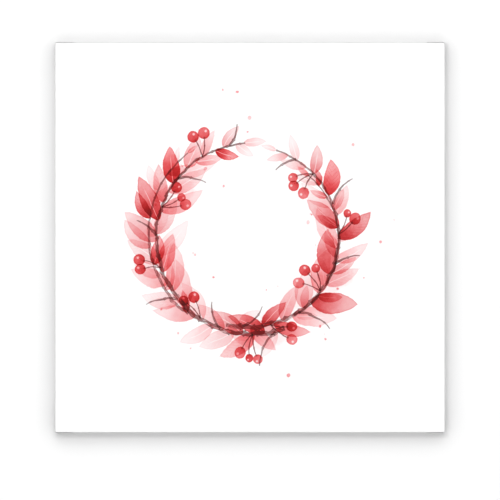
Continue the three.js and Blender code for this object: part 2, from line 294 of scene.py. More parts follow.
def bump(tree, height, distance, strength=1.0):
    """A normal socket for a height field from 0 to 1 that stands for distance in metres."""
    node = tree.nodes.new("ShaderNodeBump")
    plug(tree, height, node.inputs["Height"])
    node.inputs["Distance"].default_value = distance
    node.inputs["Strength"].default_value = strength
    return node.outputs[0]


def new_material(name):
    """A node material with only its shader and output, its tree and the shader."""
    material = bpy.data.materials.new(name)
    material.use_nodes = True
    shader = material.node_tree.nodes["Principled BSDF"]
    return material, material.node_tree, shader


def cover(tree, shader, colour, roughness, relief):
    """Gives a shader its colour, its roughness and its relief."""
    plug(tree, colour, shader.inputs["Base Color"])
    plug(tree, roughness, shader.inputs["Roughness"])
    plug(tree, relief, shader.inputs["Normal"])


# The printed wreath


@dataclass
class Stroke:
    """A closed brush stroke: a leaf, a round berry or a drop."""

    x: float
    z: float
    angle: float
    length: float
    half_width: float
    tone: float
    redness: float = 1.0
    bend: float = 0.0
    round_share: float = 0.0
    wetness: float = 0.0
    seed: float = 0.0

    def local(self, x, z):
        """Share along the stroke, and offset across it in half widths."""
        along = (x - self.x) * math.cos(self.angle) + (z - self.z) * math.sin(self.angle)
        across = (z - self.z) * math.cos(self.angle) - (x - self.x) * math.sin(self.angle)
        share = along / self.length
        across = across - self.bend * self.length * share * (1 - share)
        return share, across / self.half_width

    def covers(self, x, z, margin):
        share, across = self.local(x, z)
        inside = np.clip(share, 0.02, 0.98)
        pointed = 2.7 * inside**0.62 * (1 - inside) ** 0.85
        rounded = np.sqrt(np.maximum(0, 1 - (2 * inside - 1) ** 2))
        outline = pointed + (rounded - pointed) * self.round_share
        near = np.abs(across) * self.half_width < outline * self.half_width + margin
        reach = margin / self.length
        return near & (share > -reach) & (share < 1 + reach)

    def values(self, x, z):
        share, across = self.local(x, z)
        same = np.ones_like(share)
        return {
            "place": (share, across, same * self.round_share),
            "size": (same * self.length, same * self.half_width, same * self.tone),
            "look": (same * self.seed, same * self.redness, same * self.wetness),
        }


@dataclass
class Twig:
    """A long thin stroke along an arc, which tapers from its foot to its tip."""

    x: float
    z: float
    radius: float
    start: float
    sweep: float
    foot_width: float
    tip_width: float
    tone: float
    redness: float = 0.0
    seed: float = 0.0

    @property
    def length(self):
        return abs(self.sweep) * self.radius

    def at(self, share):
        """The place and the direction of growth at a share of the twig's length."""
        turn = self.start + self.sweep * share
        x = self.x + self.radius * math.cos(turn)
        z = self.z + self.radius * math.sin(turn)
        return Vector((x, z)), turn + math.copysign(math.pi / 2, self.sweep)

    def local(self, x, z):
        """Distance along the arc and offset from it, in millimetres."""
        radius = np.hypot(x - self.x, z - self.z)
        middle = self.start + self.sweep / 2
        turn = np.arctan2(z - self.z, x - self.x) - middle
        turn = (turn + math.pi) % (2 * math.pi) - math.pi
        along = turn * math.copysign(self.radius, self.sweep) + self.length / 2
        return along, radius - self.radius

    def covers(self, x, z, margin):
        along, across = self.local(x, z)
        width = self.foot_width / 2 + margin
        return (np.abs(across) < width) & (along > -margin) & (along < self.length + margin)

    def values(self, x, z):
        along, across = self.local(x, z)
        share = np.clip(along / self.length, 0, 1)
        half = (self.foot_width + (self.tip_width - self.foot_width) * share) / 2
        ends = np.minimum(along, self.length - along)
        same = np.ones_like(along)
        return {
            "place": (along, across, ends),
            "size": (half, same * self.tone, same * self.redness),
            "look": (same * self.seed, same, same),
        }


# Middle of each main stem in mm, how much wider than the wreath it is, its start and sweep in degrees,
# and its brush: widths of foot and tip in mm, tone, redness and seed
STEMS = (
    (2, -1, 2, -70, -196, 5.4, 1.5, 1.5, 0.05, 1.3),
    (-2, 1, -3, -104, 176, 4.8, 1.4, 1.3, 0.1, 4.1),
    (1, 4, 9, -128, -104, 3.2, 1.2, 1.1, 0.1, 7.7),
    (4, -3, -9, -62, 112, 3.0, 1.1, 1.1, 0.15, 9.2),
)
# Stem, share of its length and side of each bunch of berries
BUNCHES = (
    (0, 0.10, 1), (0, 0.27, -1), (0, 0.47, 1), (0, 0.66, -1), (0, 0.86, 1),
    (1, 0.16, -1), (1, 0.38, 1), (1, 0.60, -1), (1, 0.84, 1),
)
# Stem, share of its length, side and length in mm of each bare twig
BARE_TWIGS = (
    (0, 0.03, 1, 40), (0, 0.20, -1, 30), (0, 0.36, 1, 34), (0, 0.57, 1, 26),
    (0, 0.76, -1, 30), (0, 0.95, 1, 24), (1, 0.06, 1, 30), (1, 0.27, -1, 38),
    (1, 0.49, -1, 28), (1, 0.71, -1, 34), (1, 0.92, 1, 24),
)
# Distance between the leaves in mm and their size on each stem
LEAF_STEPS = ((10.5, 1.0), (11.5, 0.9), (15, 0.72), (15, 0.66))
# Strengths of the leaves' washes, and how often each comes
LEAF_TONES = ([0.34, 0.62, 1.15, 2.1], [0.3, 0.3, 0.23, 0.17])
STAIN_COUNT = 13
DROP_COUNT = 34


def wreath(sizes):
    """The strokes of the print, in the order in which they were painted."""
    rng = np.random.default_rng(sizes.print_seed)
    radius = sizes.wreath_radius / MM
    stems = main_stems(radius)
    stains = wet_stains(rng, stems)
    leaves = leaf_strokes(rng, stems, sizes.leaf_length / MM)
    berries, stalks = berry_strokes(rng, stems, sizes.berry_radius / MM)
    bare = bare_twigs(rng, stems)
    drops = drop_strokes(rng, radius)
    return [*leaves, *berries, *drops], [*stems, *bare, *stalks], stains


def main_stems(radius):
    """The long twigs that the wreath is bound from."""
    stems = []
    for x, z, wider, start, sweep, *brush in STEMS:
        stem = Twig(x, z, radius + wider, math.radians(start), math.radians(sweep), *brush)
        stems.append(stem)
    return stems


def wet_stains(rng, stems):
    """Middle, radius and strength of soft pale patches behind the leaves."""
    stains = []
    for _ in range(STAIN_COUNT):
        place, _ = stems[int(rng.integers(2))].at(rng.uniform(0.05, 0.8))
        place = place * rng.uniform(0.84, 1.16)
        stains.append((place.x, place.y, rng.uniform(10, 21), rng.uniform(0.6, 1.0)))
    return stains


def leaf_strokes(rng, stems, longest):
    """Leaves by turns on either side of each stem, and one at its tip."""
    leaves = []
    tones, shares = LEAF_TONES
    for stem, (pitch, size) in zip(stems, LEAF_STEPS):
        count = int(stem.length / pitch)
        for index in range(count + 1):
            share = (index + rng.uniform(-0.2, 0.2)) / count
            share = min(max(share, 0.01), 1.0)
            place, ahead = stem.at(share)
            side = 1 if index % 2 else -1
            lean = side * math.radians(rng.uniform(26, 52)) if index < count else 0
            taper = math.sin(math.pi * (0.24 + 0.62 * share))
            length = longest * size * taper * rng.uniform(0.78, 1.08)
            strength = rng.choice(tones, p=shares)
            leaf = Stroke(
                place.x,
                place.y,
                ahead + lean,
                length,
                half_width=length * rng.uniform(0.17, 0.235),
                tone=strength * rng.uniform(0.85, 1.2),
                redness=rng.uniform(0.9, 1.0),
                bend=side * rng.uniform(-0.05, 0.28),
                wetness=rng.uniform(0, 0.22),
                seed=rng.uniform(0, 9),
            )
            leaves.append(leaf)
    return leaves


def berry_strokes(rng, stems, largest):
    """Round berries in bunches of two or three, and their stalks."""
    berries = []
    stalks = []
    for stem, share, side in BUNCHES:
        foot, ahead = stems[stem].at(share)
        for index in range(int(rng.integers(2, 4))):
            heading = ahead + side * math.radians(48 + 26 * (index - 0.5) + rng.uniform(-6, 6))
            reach = rng.uniform(15, 24)
            brush = {"foot_width": 1.3, "tip_width": 0.9, "tone": 1.5, "redness": 0.35}
            stalk = grown_twig(foot, heading, 1, reach, 2.2 * reach, seed=rng.uniform(0, 9), **brush)
            stalks.append(stalk)
            tip, heading = stalk.at(1.0)
            size = largest * rng.uniform(0.68, 1.0)
            berry = Stroke(
                tip.x,
                tip.y,
                heading,
                2 * size,
                half_width=size * rng.uniform(0.9, 1.0),
                tone=rng.uniform(1.5, 3.2),
                redness=0.97,
                round_share=1.0,
                wetness=0.05,
                seed=rng.uniform(0, 9),
            )
            berries.append(berry)
    return berries, stalks


def bare_twigs(rng, stems):
    """Short side twigs without leaves."""
    bare = []
    for stem, share, side, reach in BARE_TWIGS:
        foot, ahead = stems[stem].at(share)
        heading = ahead + side * math.radians(rng.uniform(24, 40))
        bow = rng.uniform(1.1, 1.7) * reach
        brush = {"foot_width": 2.9, "tip_width": 0.8, "tone": 1.3, "redness": 0.04}
        bare.append(grown_twig(foot, heading, side, reach, bow, seed=rng.uniform(0, 9), **brush))
    return bare


def grown_twig(foot, heading, side, reach, bow, **brush):
    """A twig of length reach that leaves its foot in a direction and bends to one side."""
    inward = heading + side * math.pi / 2
    x = foot.x + bow * math.cos(inward)
    z = foot.y + bow * math.sin(inward)
    return Twig(x, z, bow, inward - math.pi, side * reach / bow, **brush)


def drop_strokes(rng, radius):
    """Small drops, splashed round and inside the wreath."""
    drops = []
    for _ in range(DROP_COUNT):
        away = radius * rng.uniform(0.55, 1.62)
        around = rng.uniform(0, 2 * math.pi)
        size = rng.uniform(0.5, 1.0) ** 3 * 2.2
        drop = Stroke(
            away * math.cos(around),
            away * math.sin(around),
            rng.uniform(0, 6),
            2 * size,
            half_width=size * rng.uniform(0.75, 1),
            tone=rng.uniform(0.25, 1.1),
            redness=0.98,
            round_share=1.0,
            wetness=0.1,
            seed=rng.uniform(0, 9),
        )
        drops.append(drop)
    return drops


def corner_places(mesh, faces):
    """Numbers of the corners of these faces, and their x and z about the picture's middle in mm."""
    starts = np.zeros(len(mesh.polygons), np.int32)
    mesh.polygons.foreach_get("loop_start", starts)
    corner_vertices = np.zeros(len(mesh.loops), np.int32)
    mesh.loops.foreach_get("vertex_index", corner_vertices)
    corners = starts[faces][:, None] + np.arange(4)
    places = points_of(mesh)[corner_vertices[corners]]
    return corners, places[..., 0], places[..., 2] - MIDDLE_Z / MM


def points_of(mesh):
    """The mesh's points in millimetres."""
    points = np.zeros(len(mesh.vertices) * 3, np.float32)
    mesh.vertices.foreach_get("co", points)
    return points.reshape(-1, 3).astype(float) / MM


def paint(mesh, faces, strokes, prefix):
    """Writes the strokes' own coordinates on the faces that they cross.

    The first stroke on a face goes to that face's layer 0, the next to its layer 1, and so on.
    Returns the number of layers.
    """
    corners, x, z = corner_places(mesh, faces)
    middle_x, middle_z = x.mean(1), z.mean(1)
    taken = np.zeros(len(faces), int)
    layers = []
    for stroke in strokes:
        covered = stroke.covers(middle_x, middle_z, PAINT_MARGIN)
        crossed = np.flatnonzero(covered & (taken < MOST_LAYERS))
        if not len(crossed):
            continue
        while taken[crossed].max() >= len(layers):
            empty = {name: np.zeros((len(mesh.loops), 3), np.float32) for name in STROKE_DATA}
            layers.append(empty)
        for layer, data in enumerate(layers):
            here = crossed[taken[crossed] == layer]
            for name, values in stroke.values(x[here], z[here]).items():
                data[name][corners[here]] = np.stack(values, -1)
        taken[crossed] += 1
    for layer, data in enumerate(layers):
        for name, values in data.items():
            attribute = mesh.attributes.new(f"{prefix}_{layer}_{name}", "FLOAT_VECTOR", "CORNER")
            attribute.data.foreach_set("vector", values.ravel())
    return len(layers)


def dampen(mesh, stains):
    """Writes the wet stains, which are too soft to need strokes, on the cloth's points."""
    x, y, z = points_of(mesh).T
    z = z - MIDDLE_Z / MM
    wet = np.zeros(len(x))
    for stain_x, stain_z, radius, strength in stains:
        away = np.hypot(x - stain_x, z - stain_z) / radius
        wet = wet + strength * np.exp(-1.4 * away**2)
    wet[y > FRONT_Y / MM + 1] = 0
    mesh.attributes.new("wet", "FLOAT", "POINT").data.foreach_set("value", wet.astype(np.float32))


VECTOR, NUMBER = "NodeSocketVector", "NodeSocketFloat"
STROKE_INPUTS = (
    ("Place", VECTOR),
    ("Size", VECTOR),
    ("Look", VECTOR),
    ("Slow", VECTOR),
    ("Quick", VECTOR),
    ("Grain", NUMBER),
)


def stroke_group(name):
    """A node group for one kind of stroke, its input node's sockets by name, and its results."""
    group = bpy.data.node_groups.new(name, "ShaderNodeTree")
    for title, kind in STROKE_INPUTS:
        group.interface.new_socket(title, in_out="INPUT", socket_type=kind)
    for title in ("Red", "Brown"):
        group.interface.new_socket(title, in_out="OUTPUT", socket_type=NUMBER)
    entry = group.nodes.new("NodeGroupInput")
    leave = group.nodes.new("NodeGroupOutput")
    return group, entry.outputs, leave.inputs


def wash_group():
    """Pigment of one closed stroke, from its own coordinates and the paper's noise."""
    group, given, result = stroke_group("Brush wash")
    share, across, round_share = split(group, given["Place"])
    length, half_width, tone = split(group, given["Size"])
    seed, redness, wetness = split(group, given["Look"])
    slow_a, slow_b, slow_c = split(group, given["Slow"])
    quick_a, quick_b, quick_c = split(group, given["Quick"])
    grain = Field(group, given["Grain"])

    # The hand's wobble moves the stroke's own coordinates before its outline is read
    u = share + (slow_a - 0.5) * 0.05
    v = across + (slow_b - 0.5) * 0.35 * (1 - round_share * 0.5)
    inside = u.most(0.001).least(0.999)
    pointed = 2.7 * inside**0.62 * (1 - inside) ** 0.85
    leaf_edge = (pointed - abs(v)) * half_width
    leaf_edge = leaf_edge.least(u * length * 0.6 + 0.2).least((1 - u) * length * 0.6 + 0.2)
    round_edge = (1 - ((2 * u - 1) * (2 * u - 1) + v * v).root()) * half_width
    edge = leaf_edge.toward(round_edge, round_share)
    edge = edge + (quick_a - 0.5) * (0.9 + wetness * 4.0) + (grain - 0.5) * 0.5
    soft = 0.16 + wetness * 2.6
    mask = edge.rise(0 - soft, soft + 0.1)

    # Pigment runs to the foot of a leaf, mottles in the wash and dries in a darker rim
    fall = (u + (slow_c - 0.5) * 0.7 + seed.sine() * 0.12).rise(-0.15, 0.95)
    body = Field(group, 1.75).toward(0.42, fall).toward(1.0, round_share * 0.7)
    mottle = 0.55 + slow_c * 0.5 + quick_b * 0.4
    rim = (0 - (edge * 1.5).most(0) ** 1.4).exponent()
    rim_strength = (0.30 + quick_c * 0.35) * (1 - wetness * 0.8)
    grains = 0.86 + grain * 0.28
    density = (body * mottle + rim * rim_strength) * grains

    # A thin dry line and faint side veins on a leaf
    half_off = abs(v) * half_width
    dry = half_off.rise(0.16, 0.55)
    on_leaf = (1 - round_share) * (1 - (u - 0.45).rise(0.15, 0.35))
    on_leaf = on_leaf * (seed * 3.7).sine().rise(-0.5, 0.1)
    density = density * (1 - (1 - dry) * on_leaf * 0.62)
    vein_step = ((u * length - half_off * 1.25) / 4.6 + quick_b * 0.22 + seed).fraction()
    vein = (1 - abs(vein_step - 0.5).rise(0.02, 0.075)) * (half_off * 0.9).least(1)
    vein_share = (1 - round_share) * edge.rise(0.6, 2.2) * (seed * 5.1).sine().rise(-0.2, 0.5)
    density = density + vein * vein_share * 0.34

    # A berry keeps a dry spot of light and has a dark foot
    spot = ((u - 0.66) * (u - 0.66) * 4 + (v + 0.34) * (v + 0.34)).root()
    berry = round_share * (1 - wetness * 2).most(0) * half_width.rise(2.5, 3.5)
    density = density * (1 - (1 - (spot + (quick_a - 0.5) * 0.2).rise(0.14, 0.32)) * berry * 0.85)
    foot = (((u - 0.06) * (u - 0.06) * 4 + v * v).root() + (quick_c - 0.5) * 0.25).rise(0.10, 0.32)
    dark = (1 - foot) * berry * 1.1

    laid = density * mask * tone
    plug(group, laid * redness, result["Red"])
    plug(group, laid * (1 - redness) + dark * mask, result["Brown"])
    return group


def twig_group():
    """Pigment of one twig, from its own coordinates and the paper's noise."""
    group, given, result = stroke_group("Brush twig")
    along, across, ends = split(group, given["Place"])
    half, tone, redness = split(group, given["Size"])
    seed, _, _ = split(group, given["Look"])
    slow_a, slow_b, slow_c = split(group, given["Slow"])
    quick_a, quick_b, _ = split(group, given["Quick"])
    grain = Field(group, given["Grain"])

    sway = noise(group, join(group, along / 13, seed, 0), 1.0, 1.0)
    run = noise(group, join(group, along / 6, across / 1.1, seed), 1.0, 2.0)
    offset = across + (sway[0] - 0.5) * 3.4 * half.least(1.6) + (quick_a - 0.5) * 0.4
    knot = (1 - abs((along / 16 + seed + slow_a).fraction() - 0.5).rise(0.02, 0.13)) * half * 0.5
    width = half * (0.62 + sway[1] * 0.75) + knot
    edge = width - abs(offset) + (grain - 0.5) * 0.3
    edge = edge.least(ends * 0.4)
    mask = edge.rise(-0.12, 0.22)
    rim = (0 - (edge * 2.4).most(0)).exponent()
    density = (0.42 + run[0] * 1.1 + rim * 0.35) * (0.86 + grain * 0.28)
    skipped = (run[1] + (slow_b - 0.5) * 0.8).rise(0.60, 0.68) * half.rise(0.7, 1.2)
    density = density * (1 - skipped * 0.7) * (0.7 + slow_c * 0.6)
    laid = density * mask * tone * tone.rise(0.0, 0.01)
    blush = redness * (0.4 + quick_b * 1.2)
    plug(group, laid * blush, result["Red"])
    plug(group, laid * (1 - blush * 0.5), result["Brown"])
    return group


def printed_pigment(tree, x, z, layers):
    """Red and brown pigment on the cloth, summed over the layers of strokes."""
    place = join(tree, x, 0.0, z)
    slow = noise(tree, place, 1 / 17, 2.0, 0.55, 0.4)
    quick = noise(tree, place, 1 / 3.6, 3.0, 0.6, 0.3)
    grain = noise(tree, place, 1 / 0.75, 1.0)[0]
    slow_vector = join(tree, *slow)
    quick_vector = join(tree, *quick)
    wet = stored(tree, "wet", "Fac")
    stain = (wet + (slow[0] - 0.5) * 0.5 + (quick[1] - 0.5) * 0.22).rise(0.22, 0.62)
    red = stain * wet.rise(0.02, 0.3) * (0.5 + slow[2]) * 0.17
    brown = Field(tree, 0.0)
    for prefix, group in (("wash", wash_group()), ("twig", twig_group())):
        for layer in range(layers[prefix]):
            node = tree.nodes.new("ShaderNodeGroup")
            node.node_tree = group
            for name in STROKE_DATA:
                mark = stored(tree, f"{prefix}_{layer}_{name}", "Vector")
                plug(tree, mark, node.inputs[name.title()])
            plug(tree, slow_vector, node.inputs["Slow"])
            plug(tree, quick_vector, node.inputs["Quick"])
            plug(tree, grain, node.inputs["Grain"])
            red = red + Field(tree, node.outputs["Red"])
            brown = brown + Field(tree, node.outputs["Brown"])
    return red, brown


def weave_height(tree, x, y, z, pitch):
    """Height of a plain weave from 0 to 1, with slightly uneven threads."""
    place = join(tree, x, y, z)
    drift = noise(tree, place, 1 / 9, 1.0)
    warp = (x + y) / pitch + (drift[0] - 0.5) * 2.2
    weft = (z + y * 0.5) / pitch + (drift[1] - 0.5) * 2.2
    over_warp = (warp.fraction() * math.pi).sine()
    over_weft = (weft.fraction() * math.pi).sine()
    odd = ((warp.whole() + weft.whole()) / 2).fraction() * 2
    warp_up = over_warp * (0.55 + over_weft * 0.45)
    weft_up = over_weft * (0.55 + over_warp * 0.45)
    slub = noise(tree, join(tree, x / 6, y, z * 1.2), 1.0, 2.0)[0]
    return warp_up.toward(weft_up, odd) * (0.8 + slub * 0.4)


def primed_cloth(colours, sizes, layers):
    """White primed canvas with the print on it."""
    material, tree, shader = new_material("primed_canvas")
    x, y, z = millimetres(tree)
    weave = weave_height(tree, x, y, z, sizes.weave_pitch / MM)
    red, brown = printed_pigment(tree, x, z - MIDDLE_Z / MM, layers)

    # The threads' tops take a little more paint, and each colour of light is dimmed by its own share
    held = 0.94 + weave * 0.1
    red = red * held
    brown = brown * held
    dusty = (1 - (0 - red * 1.6).exponent()) * 0.085
    let_through = [
        (0 - (dusty + red * red * 0.03 + brown * 0.8)).exponent(),
        (0 - (red + brown)).exponent(),
        (0 - (red * 0.965 + brown * 1.01)).exponent(),
    ]
    tint = tree.nodes.new("ShaderNodeVectorMath")
    tint.operation = "MULTIPLY"
    tree.links.new(join(tree, *let_through), tint.inputs[0])
    tint.inputs[1].default_value = colours.primed
    relief = bump(tree, weave, 0.15 * MM, 0.6)
    cover(tree, shader, tint.outputs[0], 0.72 + weave * 0.14, relief)
    shader.inputs["Specular IOR Level"].default_value = 0.25
    return material


def turned_cloth(colours, sizes):
    """White primed canvas without a print, drawn in a little at each staple."""
    material, tree, shader = new_material("turned_canvas")
    x, y, z = millimetres(tree)
    weave = weave_height(tree, x, y, z, sizes.weave_pitch / MM)
    up = z - MIDDLE_Z / MM
    upright = (abs(x) - abs(up)).rise(-0.1, 0.1)
    run = x.toward(up, upright)
    edge = abs(up).toward(abs(x), upright)
    pitch = STAPLE_PITCH / MM
    aside = abs((run / pitch).fraction() - 0.5) * pitch
    away = edge - STAPLE_LINE / MM
    from_staple = ((aside - 5.0).most(0) ** 2 + away * away).root()
    pressed = (0 - from_staple * 0.45).exponent()
    drawn = ((aside * 1.5 + away.sine()).sine() * 0.5 + 0.5) * (0 - from_staple * 0.16).exponent()
    at_back = y.rise(BACK_Y / MM - 1, BACK_Y / MM - 0.5)
    relief = weave * 0.3 + (drawn * 0.5 - pressed * 1.2) * at_back
    soil = noise(tree, join(tree, x / 30, y / 8, up / 30), 1.0, 3.0)[0].rise(0.5, 0.8) * 0.05
    dusty = [value * 0.8 for value in colours.primed]
    # Greyer in soiled patches, which is dirt, and a little darker in the weave's hollows, which is painted
    # shade.
    colour = blend(tree, soil + (1 - weave) * 0.03, colours.primed, dusty)
    cover(tree, shader, colour, 0.72 + weave * 0.14, bump(tree, relief, 0.7 * MM, 0.6))
    shader.inputs["Specular IOR Level"].default_value = 0.25
    return material


def raw_cloth(colours, sizes):
    """Unprimed cotton, as it shows inside the picture."""
    material, tree, shader = new_material("raw_canvas")
    x, y, z = millimetres(tree)
    weave = weave_height(tree, x, y, z, sizes.weave_pitch / MM)
    cloud = noise(tree, join(tree, x, y, z), 1 / 40, 3.0)[0]
    fleck = noise(tree, join(tree, x, y, z * 2), 1 / 1.1, 2.0)[0]
    # Painted shade: the weave's hollows are darker than the threads' tops. The clouds vary the tone at
    # random, and the flecks are darker fibres.
    shade = (weave * 0.7 + cloud * 0.3 + fleck.rise(0.62, 0.8) * -0.4).rise(-0.1, 0.9)
    dark = [value * 0.72 for value in colours.raw]
    colour = blend(tree, shade, dark, colours.raw)
    cover(tree, shader, colour, 0.82 + cloud * 0.12, bump(tree, weave, 0.2 * MM, 0.8))
    shader.inputs["Specular IOR Level"].default_value = 0.2
    return material


def pine(name, colours, along_x, seed, knot):
    """Planed softwood whose grain runs along x or along z, with a knot at a place along it."""
    material, tree, shader = new_material(name)
    x, y, z = millimetres(tree)
    z = z - MIDDLE_Z / MM
    along, across = (x, z) if along_x else (z, x)
    wander = noise(tree, join(tree, along / 120, across / 30, seed), 1.0, 2.0)
    pith_across = across + seed * 23 - 31 + (wander[0] - 0.5) * 26
    pith_depth = y + 46 + seed * 3 + (wander[1] - 0.5) * 12
    ring = (pith_across * pith_across + pith_depth * pith_depth).root() / 3.4
    ripple = noise(tree, join(tree, along / 24, across / 3, y / 3 + seed), 1.0, 2.0)[0]
    knot_along = (along - knot) / 1.5
    knot_across = abs(across) - KNOT_LINE
    from_knot = (knot_along * knot_along + knot_across * knot_across).root() + ripple * 1.2
    round_knot = (0 - from_knot * from_knot / 60).exponent()
    step = (ring + ripple * 0.35 + round_knot * 2.6).fraction()
    late = step.rise(0.25, 0.9) * (1 - step.rise(0.93, 1.0))
    fibre = noise(tree, join(tree, along / 16, across * 2.4, y * 2.4 + seed), 1.0, 3.0, 0.6)[0]
    fleck = noise(tree, join(tree, along / 2.2, across * 1.8, y * 1.8 - seed), 1.0, 1.0)[1]
    shade = late * 0.62 + (fibre - 0.5) * 0.55 + fleck.rise(0.66, 0.76) * 0.22 + 0.1
    shade = shade + round_knot * 0.35
    heart = [value * 0.42 for value in colours.pine_dark]
    core = 1 - from_knot.rise(2.2, 3.4)
    wood = blend(tree, shade, colours.pine_light, colours.pine_dark)
    colour = blend(tree, core * (0.6 + fibre * 0.5), wood, heart)
    relief = bump(tree, fibre * 0.7 + late * 0.3, 0.12 * MM, 0.6)
    cover(tree, shader, colour, 0.52 + fibre * 0.26 - late * 0.08, relief)
    return material


def beech(name, colours, along_x):
    """Sawn hardwood with short dark flecks along its grain."""
    material, tree, shader = new_material(name)
    x, y, z = millimetres(tree)
    along, across = (x, z) if along_x else (z, x)
    cloud = noise(tree, join(tree, along / 30, across / 6, y), 1.0, 2.0)[0]
    fleck = noise(tree, join(tree, along / 1.5, across * 3.2, y * 3.2), 1.0, 1.0)[0]
    saw = noise(tree, join(tree, along * 1.7, across / 9, y), 1.0, 1.0)[0]
    shade = fleck.rise(0.58, 0.72) * 0.6 + (cloud - 0.5) * 0.5 + 0.2
    dark = [value * 0.5 for value in colours.beech]
    colour = blend(tree, shade, colours.beech, dark)
    relief = bump(tree, fleck * 0.5 + saw * 0.5, 0.1 * MM, 0.6)
    cover(tree, shader, colour, 0.55 + cloud * 0.2, relief)
    return material


def metal(name, colour, roughness, spangle):
    """Bright metal with faint clouding, fine scratches and, on zinc, a spangle."""
    material, tree, shader = new_material(name)
    x, y, z = millimetres(tree)
    place = join(tree, x, y, z)
    cloud = noise(tree, place, 1 / 5, 3.0)[0]
    scratch = noise(tree, join(tree, x * 0.7, y * 6, z * 9), 1.0, 2.0)[0]
    cells = tree.nodes.new("ShaderNodeTexVoronoi")
    tree.links.new(place, cells.inputs["Vector"])
    cells.inputs["Scale"].default_value = 1 / 1.6
    flake = split(tree, cells.outputs["Color"])[0]
    shade = (cloud - 0.5) * 0.5 + (flake - 0.5) * spangle + 0.4
    dark = [value * 0.62 for value in colour]
    uneven = roughness + cloud * 0.16 + scratch * 0.1
    relief = bump(tree, scratch, 0.02 * MM, 0.5)
    cover(tree, shader, blend(tree, shade, colour, dark), uneven, relief)
    shader.inputs["Metallic"].default_value = 1.0
    return material


def matt_rubber(colours):
    """Black rubber with a fine moulded grain and a little dust."""
    material, tree, shader = new_material("matt_rubber")
    place = join(tree, *millimetres(tree))
    grain = noise(tree, place, 1 / 0.35, 2.0)[0]
    dust = noise(tree, place, 1 / 2.2, 4.0, 0.7)[0].rise(0.5, 0.75)
    pale = [value * 3.0 for value in colours.rubber]
    colour = blend(tree, dust * 0.5, colours.rubber, pale)
    cover(tree, shader, colour, 0.7 + grain * 0.2, bump(tree, grain, 0.05 * MM, 0.5))
    return material


# Meshes


def link(name, mesh, *materials):
    """A new object in the scene with these materials."""
    piece = bpy.data.objects.new(name, mesh)
    bpy.context.scene.collection.objects.link(piece)
    for material in materials:
        mesh.materials.append(material)
    return piece


def stations(flat_half, flap_line):
    """Places of the cloth's grid lines on one axis, closer together at the corners and folds."""

    def even(start, end):
        return np.linspace(start, end, math.ceil((end - start) / CELL) + 1)

    at_fold = flap_line + np.array([-0.5, 0.0, 0.5, 1.2]) * MM
    corner = flat_half - np.array([2.4, 1.6, 1.0, 0.6, 0.3, 0.0]) * MM
    inner = even(0, flap_line - 1.2 * MM)
    outer = even(at_fold[-1], flat_half - 3.4 * MM)[1:]
    right = np.concatenate([inner, at_fold, outer, corner])
    return np.concatenate([-right[:0:-1], right])


def rise(value, low, high):
    """A smooth step from 0 at low to 1 at high, on arrays."""
    share = np.clip((value - low) / (high - low), 0, 1)
    return share * share * (3 - 2 * share)


def round_corners(x, z, half):
    """Bends the corners of a square ring of points, whose half size is given."""
    straight = half - CORNER_BEND
    over_x = np.abs(x) - straight
    over_z = np.abs(z) - straight
    corner = (over_x > 0) & (over_z > 0)
    away = np.where(corner, np.hypot(over_x, over_z), 1.0)
    bent_x = np.sign(x) * (straight + over_x * CORNER_BEND / away)
    bent_z = np.sign(z) * (straight + over_z * CORNER_BEND / away)
    return np.where(corner, bent_x, x), np.where(corner, bent_z, z)


def square(first, last):
    """Grid places round a square from line first to line last, in turn."""
    up = [(last, j) for j in range(first, last)]
    left = [(i, last) for i in range(last, first, -1)]
    down = [(first, j) for j in range(last, first, -1)]
    right = [(i, first) for i in range(first, last)]
    return [*up, *left, *down, *right]


